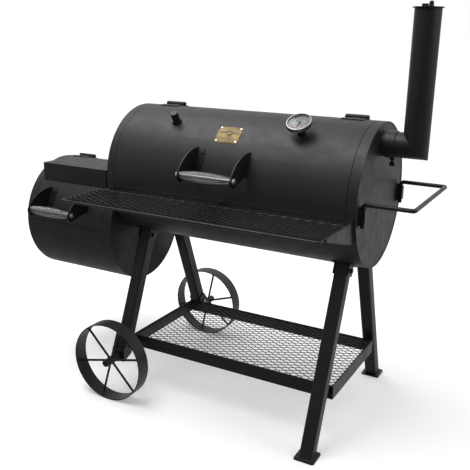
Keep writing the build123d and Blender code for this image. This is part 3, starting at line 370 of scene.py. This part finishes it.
def coil_grip(name, node, body):
    """Spring wire wound to a barrel shape round the handle's rod."""
    low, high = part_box(node)
    centre = (low + high) / 2
    swell = (high.z - low.z) / 2 - COIL_END_R
    x0, x1 = low.x + WIRE_R, high.x - WIRE_R
    points = []
    for i in range(COIL_TURNS * RING_STEPS + 1):
        along = i / (COIL_TURNS * RING_STEPS)
        turn = tau * i / RING_STEPS
        reach = COIL_END_R + swell * (1 - (2 * along - 1) ** 2) - WIRE_R
        x = x0 + (x1 - x0) * along
        points.append(Vector((x, centre.y + reach * cos(turn), centre.z + reach * sin(turn))))
    vertices, faces = tube(points, [WIRE_R] * len(points), WIRE_SIDES)
    grip = make_piece(name, vertices, faces, MATERIALS["coil_chrome"], body, "coil_chrome")
    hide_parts(node)


# ---------------------------------------------------------------- expanded metal
CELL_LONG = 39 * MM
CELL_SHORT = 21.8 * MM
STRAND_THICK = 2.0 * MM
HOLE_TIP, HOLE_SIDE, HOLE_TOP = 0.86, 0.14, 0.79    # a hole's corners, as shares of half a cell
HOLE = ((HOLE_TIP, 0), (HOLE_SIDE, HOLE_TOP), (-HOLE_SIDE, HOLE_TOP),
        (-HOLE_TIP, 0), (-HOLE_SIDE, -HOLE_TOP), (HOLE_SIDE, -HOLE_TOP))


def expanded_metal(name, node):
    """Diamond lattice of slit and drawn steel over the node's sheet, its strands tilted."""
    low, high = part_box(node)
    columns = round((high.x - low.x) / (CELL_LONG / 2))
    rows = round((high.y - low.y) / (CELL_SHORT / 2))
    a, b = (high.x - low.x) / columns, (high.y - low.y) / rows
    tilt = (high.z - low.z - STRAND_THICK) / 2
    mid_z = (low.z + high.z) / 2
    vertices, faces, corners, borders = [], [], {}, {}

    def pair(x, y, z):
        """A vertex on the upper face and the one under it."""
        vertices.append(Vector((x, y, z + STRAND_THICK / 2)))
        vertices.append(Vector((x, y, z - STRAND_THICK / 2)))
        return len(vertices) - 2

    def corner(i, j):
        if (i, j) not in corners:
            corners[i, j] = pair(low.x + a * i, low.y + b * j, mid_z)
        return corners[i, j]

    for i in range(1, columns):
        for j in range(1 + i % 2, rows, 2):
            east, north = corner(i + 1, j), corner(i, j + 1)
            west, south = corner(i - 1, j), corner(i, j - 1)
            x, y = low.x + a * i, low.y + b * j
            ring = [pair(x + a * u, y + b * v, mid_z + tilt * v / HOLE_TOP) for u, v in HOLE]
            top = [(east, north, ring[1], ring[0]), (north, ring[2], ring[1]),
                   (north, west, ring[3], ring[2]), (west, south, ring[4], ring[3]),
                   (south, ring[5], ring[4]), (south, east, ring[0], ring[5])]
            faces += top + [tuple(v + 1 for v in face)[::-1] for face in top]
            faces += [(p, q, q + 1, p + 1) for p, q in zip(ring, ring[1:] + ring[:1])]
            for p, q in ((east, north), (north, west), (west, south), (south, east)):
                borders[frozenset((p, q))] = None if frozenset((p, q)) in borders else (p, q)
    faces += [(q, p, p + 1, q + 1) for p, q in filter(None, borders.values())]
    sheet = make_piece(name, vertices, faces, MATERIALS["mesh_paint"],
                       "chassis", "mesh_paint", smooth=False)
    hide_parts(node)


# ---------------------------------------------------------------- nameplate
PLATE_LOW, PLATE_HIGH = 39.5, 55.5      # the plate's edges, in degrees up the lid
PLATE_FACE = 0.9 * MM                   # just under its outer face
# Bars on the plate: x from, x to, low and high, as shares of the plate.
PLATE_RIM = [
    (0.02, 0.98, 0.03, 0.055),
    (0.02, 0.98, 0.945, 0.97),
    (0.02, 0.035, 0.055, 0.945),
    (0.965, 0.98, 0.055, 0.945),
]
PLATE_BANDS = [(0.08, 0.38, 0.55, 0.70), (0.62, 0.92, 0.55, 0.70), (0.13, 0.87, 0.83, 0.87)]
PLATE_BARS = [(0.20 + 0.10 * i, 0.27 + 0.10 * i, 0.24, 0.29) for i in range(6)]
EMBLEM_UP = 0.6                         # its height up the plate, as a share
EMBLEM_RINGS = (9.5 * MM, 6.5 * MM)
EMBLEM_STEPS = 40


def nameplate_bars(name, spans, material, rise):
    """Raised bars on the plate's face, which follow its curve."""
    low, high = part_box("nameplate")
    base = BARREL_R + PLATE_FACE
    shapes = []
    for x0, x1, y0, y1 in spans:
        xs = [low.x + (high.x - low.x) * share for share in (x0, x1)]
        angles = [PLATE_LOW + (PLATE_HIGH - PLATE_LOW) * share for share in (y0, y1)]
        shapes.append(curved_bar(*xs, *angles, base, base + rise))
    make_piece(name, *join(shapes), material, "main_lid", "plate_brass", smooth=False)


def nameplate_relief():
    """Raised rim, dark bands and plain bars on the brass plate, in place of any wording."""
    nameplate_bars("nameplate_rim", PLATE_RIM, MATERIALS["plate_brass"], 0.6 * MM)
    nameplate_bars("nameplate_print", PLATE_BANDS + PLATE_BARS, DARK_BRASS, 0.25 * MM)
    low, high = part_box("nameplate")
    angle = PLATE_LOW + (PLATE_HIGH - PLATE_LOW) * EMBLEM_UP
    centre = on_barrel((low.x + high.x) / 2, angle, BARREL_R + PLATE_FACE)
    out, along, up = plate_axes(angle)
    rings = []
    for reach in EMBLEM_RINGS:
        turns = [tau * k / EMBLEM_STEPS for k in range(EMBLEM_STEPS)]
        ring = [centre + out * 0.5 * MM + (along * cos(t) * 1.25 + up * sin(t)) * reach for t in turns]
        rings.append(tube(ring, [0.55 * MM] * EMBLEM_STEPS, 8, closed=True))
    make_piece("nameplate_emblem", *join(rings), DARK_BRASS, "main_lid", "plate_brass")


def plate_axes(angle):
    """Outward, along x and up the surface, at an angle on the lid."""
    out = Vector((0, -cos(radians(angle)), sin(radians(angle))))
    return out, Vector((1, 0, 0)), Vector((0, sin(radians(angle)), cos(radians(angle))))


# ---------------------------------------------------------------- thermometer's dial
NEEDLE = joint("thermometer_needle_turn")
DIAL_OUT = -Vector(NEEDLE["axis"]).normalized()
DIAL_ALONG = Vector((1, 0, 0))
DIAL_UP = DIAL_OUT.cross(DIAL_ALONG)
NEEDLE_LIFT = 1.0 * MM
DIAL_CENTRE = Vector(NEEDLE["pos_m"]) - DIAL_OUT * NEEDLE_LIFT
DIAL_SWEEP = 270.0
DIAL_SHARE = 0.93                      # the printed scale's size against a 36 mm one
INK_THICK = 0.12 * MM
SCALE_LINES = ((34.6 * MM, 35.4 * MM), (22.6 * MM, 23.0 * MM))
TICKS = 50                              # every fifth one is long and wide
LONG_TICK, SHORT_TICK = (30.5 * MM, 0.9), (32.6 * MM, 0.4)      # inner end, half width in degrees
TICK_END = 35.0 * MM
WARM_ZONE = (14, 66, 21.0 * MM, 29.5 * MM)
NUMBERS = 10
NUMBER_REACH = 26.6 * MM
NUMBER_SIZE = 5.2 * MM


def on_dial(turn, reach, height=0.0):
    """The point on the dial at a turn in degrees, clockwise from its lowest point."""
    side, up = -sin(radians(turn)), -cos(radians(turn))
    return DIAL_CENTRE + (DIAL_ALONG * side + DIAL_UP * up) * reach * DIAL_SHARE + DIAL_OUT * height


def dial_arc(start, end, inner, outer):
    """A flat printed arc."""
    steps = max(1, ceil((end - start) / 5))
    vertices, faces = [], []
    for i in range(steps + 1):
        turn = start + (end - start) * i / steps
        vertices += [on_dial(turn, reach, height) for reach, height in
                     ((inner, 0.02 * MM), (outer, 0.02 * MM), (outer, INK_THICK), (inner, INK_THICK))]
    for i in range(steps):
        a = 4 * i
        faces += [(a + k, a + (k + 1) % 4, a + 4 + (k + 1) % 4, a + 4 + k)[::-1] for k in range(4)]
    faces += [(0, 1, 2, 3), tuple(4 * steps + k for k in range(4))[::-1]]
    return vertices, faces


def dial_print():
    """Scale ring, ticks, warm zone and plain numbers."""
    ticks = [dial_arc(0, DIAL_SWEEP, inner, outer) for inner, outer in SCALE_LINES]
    for i in range(TICKS + 1):
        turn = DIAL_SWEEP * i / TICKS
        inner, half = LONG_TICK if i % 5 == 0 else SHORT_TICK
        ticks.append(dial_arc(turn - half, turn + half, inner, TICK_END))
    make_piece("dial_scale", *join(ticks), BLACK_INK, "main_lid", "dial_print", smooth=False)
    make_piece("dial_zone", *dial_arc(*WARM_ZONE), RED_INK, "main_lid", "dial_print", smooth=False)
    upright = Matrix((DIAL_ALONG, DIAL_UP, DIAL_OUT)).transposed().to_4x4()
    for i in range(1, NUMBERS + 1):
        place = on_dial(DIAL_SWEEP * i / NUMBERS, NUMBER_REACH, 0.05 * MM)
        text = bpy.data.curves.new(f"dial_number_{i}", "FONT")
        text.body = str(50 * i)
        text.size = NUMBER_SIZE
        text.extrude = 0.05 * MM
        text.align_x, text.align_y = "CENTER", "CENTER"
        text.resolution_u = 2
        number = bpy.data.objects.new(f"dial_number_{i}", text)
        bpy.context.scene.collection.objects.link(number)
        number.matrix_world = Matrix.Translation(place) @ upright
        number.data.materials.append(BLACK_INK)
        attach(number, "main_lid")


# ---------------------------------------------------------------- weld beads
RIPPLE = 3.6 * MM
BEAD_SIDES = 7


def weld(points, radius, closed=False):
    """A bead laid along points, rippled as each drop set."""
    fine, radii, gone = [], [], 0.0
    stretches = list(zip(points, points[1:] + points[:1] if closed else points[1:]))
    for start, end in stretches:
        steps = max(1, ceil((end - start).length / (RIPPLE / 4)))
        for i in range(steps):
            share = i / steps
            laid = gone + (end - start).length * share
            fine.append(start.lerp(end, share))
            radii.append(radius * (1 + 0.16 * sin(tau * laid / RIPPLE)))
        gone += (end - start).length
    if not closed:
        fine.append(points[-1])
        radii.append(radius * 0.8)
    return tube(fine, radii, BEAD_SIDES, closed)


def ring_yz(x, radius, centre_y, centre_z, steps=120):
    """Points of a circle whose axis is along x."""
    turns = [tau * k / steps for k in range(steps)]
    return [Vector((x, centre_y + radius * cos(t), centre_z + radius * sin(t))) for t in turns]


def arc_yz(x, radius, low, high, centre_y, centre_z, steps=24):
    """Points of an arc whose axis is along x, between two angles up from the front."""
    angles = [low + (high - low) * k / steps for k in range(steps + 1)]
    return [on_barrel(x, angle, radius, centre_y, centre_z) for angle in angles]


def weld_end_plates():
    """Beads in the corner between each shell and its end plate."""
    bead = 1.5 * MM
    rings = []
    for x in (BARREL_LOW.x + 1.4 * MM, BARREL_HIGH.x - 1.4 * MM):
        rings.append(weld(ring_yz(x, BARREL_R - SHEET, BARREL_Y, BARREL_Z), bead, closed=True))
    make_piece("barrel_end_welds", *join(rings), WELD, "chassis", "barrel_paint")
    rings = []
    for x in (FIREBOX_LOW.x + 1.4 * MM, FIREBOX_HIGH.x - 1.4 * MM):
        for low, high in ((2, 178), (182, 358)):
            rings.append(weld(arc_yz(x, FIREBOX_R - SHEET, low, high, BARREL_Y, FIREBOX_Z, 60), bead))
    make_piece("firebox_end_welds", *join(rings), WELD, "chassis", "firebox_paint")


def weld_stack():
    """Bead round the chimney's stub on the end plate."""
    low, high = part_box("stack_stub")
    centre = (low + high) / 2
    ring = ring_yz(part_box("barrel_end_right")[1].x, (high.z - low.z) / 2, centre.y, centre.z, 60)
    make_piece("stack_weld", *weld(ring, 1.8 * MM, closed=True), WELD, "chassis", "stack_paint")


SADDLE_WIDTH = 60 * MM
SADDLE_ENDS = (-121, -59)               # degrees up from the barrel's front


def weld_saddles():
    """Beads along both edges of the plates over the legs."""
    low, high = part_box("leg_saddles")
    beads = []
    for x in (low.x, low.x + SADDLE_WIDTH, high.x - SADDLE_WIDTH, high.x):
        arc = arc_yz(x, BARREL_R + 0.3 * MM, *SADDLE_ENDS, BARREL_Y, BARREL_Z)
        beads.append(weld(arc, 1.3 * MM))
    make_piece("saddle_welds", *join(beads), WELD, "chassis", "stand_paint")


def degrees_up(z):
    """The angle on the barrel's front at a height."""
    return 90 - acos((z - BARREL_Z) / BARREL_R) * 180 / pi


GUSSET_THICK = 4 * MM
MIDDLE_GUSSET = -0.5 * MM               # its left face, from the middle of the shelf's frame


def weld_gussets():
    """Beads down both sides of the shelf's gusset plates, on the barrel."""
    low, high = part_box("front_shelf_brackets")
    frame_mid = middle("front_shelf_frame")
    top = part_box("front_shelf_frame")[0].z
    start = degrees_up(top - 3 * MM)
    end = degrees_up(low.z + 4 * MM)
    beads = []
    for left in (low.x, frame_mid.x + MIDDLE_GUSSET, high.x - GUSSET_THICK):
        for x in (left, left + GUSSET_THICK):
            arc = arc_yz(x, BARREL_R + 0.2 * MM, end, start, BARREL_Y, BARREL_Z, 12)
            beads.append(weld(arc, 1.5 * MM))
    make_piece("gusset_welds", *join(beads), WELD, "chassis", "stand_paint")


SPOKES = 6
SPOKE_TURNS = {"front_wheel": 14, "rear_wheel": 18}     # in degrees, from pointing forwards
RIM_THICK = 4 * MM
HUB_WELD_R = 13.2 * MM                  # from the wheel's middle out to the hub's surface
SPOKE_WELD_R = 4.6 * MM


def weld_spokes(name):
    """A small bead round both ends of each spoke, at the rim and at the hub."""
    centre = middle(f"{name}_rim")
    low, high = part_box(f"{name}_rim")
    inner = (high.z - low.z) / 2 - RIM_THICK
    turns = [tau * k / 14 for k in range(14)]
    beads = []
    for i in range(SPOKES):
        turn = tau * i / SPOKES + radians(SPOKE_TURNS[name])
        out = Vector((cos(turn), 0, sin(turn)))
        side = Vector((-sin(turn), 0, cos(turn)))
        for reach in (inner - 0.4 * MM, HUB_WELD_R):
            ring = [centre + out * reach + (side * cos(t) + Vector((0, 1, 0)) * sin(t)) * SPOKE_WELD_R
                    for t in turns]
            beads.append(tube(ring, [1.5 * MM] * len(ring), 6, closed=True))
    make_piece(f"{name}_welds", *join(beads), WELD, name, "wheel_paint")


HALF_PAD = 33 * MM
HALF_LEG = 22 * MM
LEG_SLANT = 1.08                        # how much longer the sloping leg's foot is along y


def weld_feet():
    """Beads round the foot of each right leg, on its pad."""
    low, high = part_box("foot_plates")
    x = (low.x + high.x) / 2
    z = high.z + 0.4 * MM
    beads = []
    for y in (low.y + HALF_PAD, high.y - HALF_PAD):
        reach = HALF_LEG * LEG_SLANT
        corners = [Vector((x + a * HALF_LEG, y + b * reach, z))
                   for a, b in ((-1, -1), (1, -1), (1, 1), (-1, 1))]
        beads.append(weld(corners, 1.8 * MM, closed=True))
    make_piece("foot_welds", *join(beads), WELD, "chassis", "stand_paint")


# ---------------------------------------------------------------- floor, light and camera
NEAR_GLOW, FAR_GLOW = 0.25, 0.45        # the floor's own light, near the object and far off
GLOW_FROM, GLOW_TO = 2.0, 6.0           # metres between which it grows
FLOOR_REACH = 400.0


def studio_floor():
    """A wide pale floor that takes shadows but throws no light back on the object."""
    n = Nodes("studio_floor")
    n.link(n.blend(n.noise(3, 2), (0.97, 0.97, 0.97), (0.99, 0.99, 0.99)), "Base Color")
    n.shader.inputs["Roughness"].default_value = 0.9
    n.shader.inputs["Specular IOR Level"].default_value = 0.0
    n.shader.inputs["Emission Color"].default_value = (1, 1, 1, 1)
    distance = n.add("ShaderNodeVectorMath", {0: n.place}, operation="LENGTH").outputs["Value"]
    n.link(n.span(distance, NEAR_GLOW, FAR_GLOW, GLOW_FROM, GLOW_TO), "Emission Strength")
    mesh = bpy.data.meshes.new("floor")
    corners = [(a * FLOOR_REACH, b * FLOOR_REACH, 0) for a, b in ((-1, -1), (1, -1), (1, 1), (-1, 1))]
    mesh.from_pydata(corners, [], [(0, 1, 2, 3)])
    mesh.materials.append(n.material)
    floor = bpy.data.objects.new("floor", mesh)
    bpy.context.scene.collection.objects.link(floor)
    floor.location.z = -0.5 * MM
    floor.visible_diffuse = False
    floor.visible_glossy = False


SKY_BASE = 0.05
SKY_SIDES = (                           # a direction, and the light added on that side
    ((0, 0, 1), 0.52),
    ((0, 1, 0), 0.66),
    ((1, 0, 0), 0.08),
    ((-1, 0, 0), 0.20),
    ((0, 0, -1), 0.28),
)


def studio_sky():
    """White behind the object. As light it is bright overhead and behind, and dim in front."""
    world = bpy.data.worlds.new("studio")
    world.use_nodes = True
    bpy.context.scene.world = world
    tree = world.node_tree

    def add(kind, inputs, **settings):
        node = tree.nodes.new(kind)
        for key, value in settings.items():
            setattr(node, key, value)
        for key, value in inputs.items():
            if isinstance(value, bpy.types.NodeSocket):
                tree.links.new(value, node.inputs[key])
            else:
                node.inputs[key].default_value = value
        return node

    direction = add("ShaderNodeTexCoord", {}).outputs["Generated"]
    total = SKY_BASE
    for towards, amount in SKY_SIDES:
        cosine = add("ShaderNodeVectorMath", {0: direction, 1: towards}, operation="DOT_PRODUCT")
        facing = add("ShaderNodeMath", {0: cosine.outputs["Value"], 1: 0.0}, operation="MAXIMUM")
        amounts = {0: facing.outputs[0], 1: amount, 2: total}
        total = add("ShaderNodeMath", amounts, operation="MULTIPLY_ADD").outputs[0]
    lit = add("ShaderNodeBackground", {"Color": (1, 1, 1, 1), "Strength": total}).outputs[0]
    seen = add("ShaderNodeBackground", {"Color": (1, 1, 1, 1), "Strength": 1.0}).outputs[0]
    camera_ray = add("ShaderNodeLightPath", {}).outputs["Is Camera Ray"]
    mix = add("ShaderNodeMixShader", {0: camera_ray, 1: lit, 2: seen}).outputs[0]
    tree.links.new(mix, tree.nodes["World Output"].inputs["Surface"])


def soft_light(name, position, target, width, height, power):
    """A large soft box that faces a target."""
    light = bpy.data.lights.new(name, "AREA")
    light.shape = "RECTANGLE"
    light.size, light.size_y = width, height
    light.energy = power
    lamp = bpy.data.objects.new(name, light)
    bpy.context.scene.collection.objects.link(lamp)
    lamp.location = position
    lamp.rotation_euler = (Vector(target) - Vector(position)).to_track_quat("-Z", "Y").to_euler()
    lamp.visible_camera = False


def studio_lights():
    """One box overhead, and a weak one at the right end."""
    centre = (0, 0, 0.8)
    soft_light("overhead", (-0.8, -0.55, 3.3), centre, width=3.0, height=1.4, power=68)
    soft_light("right", (3.6, 0.2, 2.2), centre, width=1.4, height=1.6, power=18)


def camera():
    """The camera, a little lower than the chimney's top and off to the right of the front."""
    azimuth, elevation, roll = (radians(v) for v in (CAMERA_AZIMUTH, CAMERA_ELEVATION, CAMERA_ROLL))
    back = Vector((sin(azimuth) * cos(elevation), -cos(azimuth) * cos(elevation), sin(elevation)))
    right = Vector((cos(azimuth), sin(azimuth), 0))
    up = back.cross(right)
    right, up = right * cos(roll) + up * sin(roll), up * cos(roll) - right * sin(roll)
    data = bpy.data.cameras.new("camera")
    data.lens = CAMERA_LENS
    data.clip_end = 200
    view = bpy.data.objects.new("camera", data)
    bpy.context.scene.collection.objects.link(view)
    place = Vector((BARREL_LOW.x + CAMERA_REACH.x, BARREL_Y + CAMERA_REACH.y, CAMERA_Z))
    view.matrix_world = Matrix.Translation(place) @ Matrix((right, up, back)).transposed().to_4x4()
    bpy.context.scene.camera = view


# ---------------------------------------------------------------- make everything
dress_nodes()
coil_grip("lid_coil_grip", "lid_handle_spring", "main_lid")
coil_grip("firebox_coil_grip", "firebox_handle_spring", "firebox_lid")
expanded_metal("front_shelf_expanded", "front_shelf_mesh")
expanded_metal("lower_shelf_expanded", "lower_shelf_mesh")
nameplate_relief()
dial_print()
weld_end_plates()
weld_stack()
weld_saddles()
weld_gussets()
weld_spokes("front_wheel")
weld_spokes("rear_wheel")
weld_feet()
studio_floor()
studio_sky()
studio_lights()
camera()
bpy.context.scene.view_settings.view_transform = "Standard"
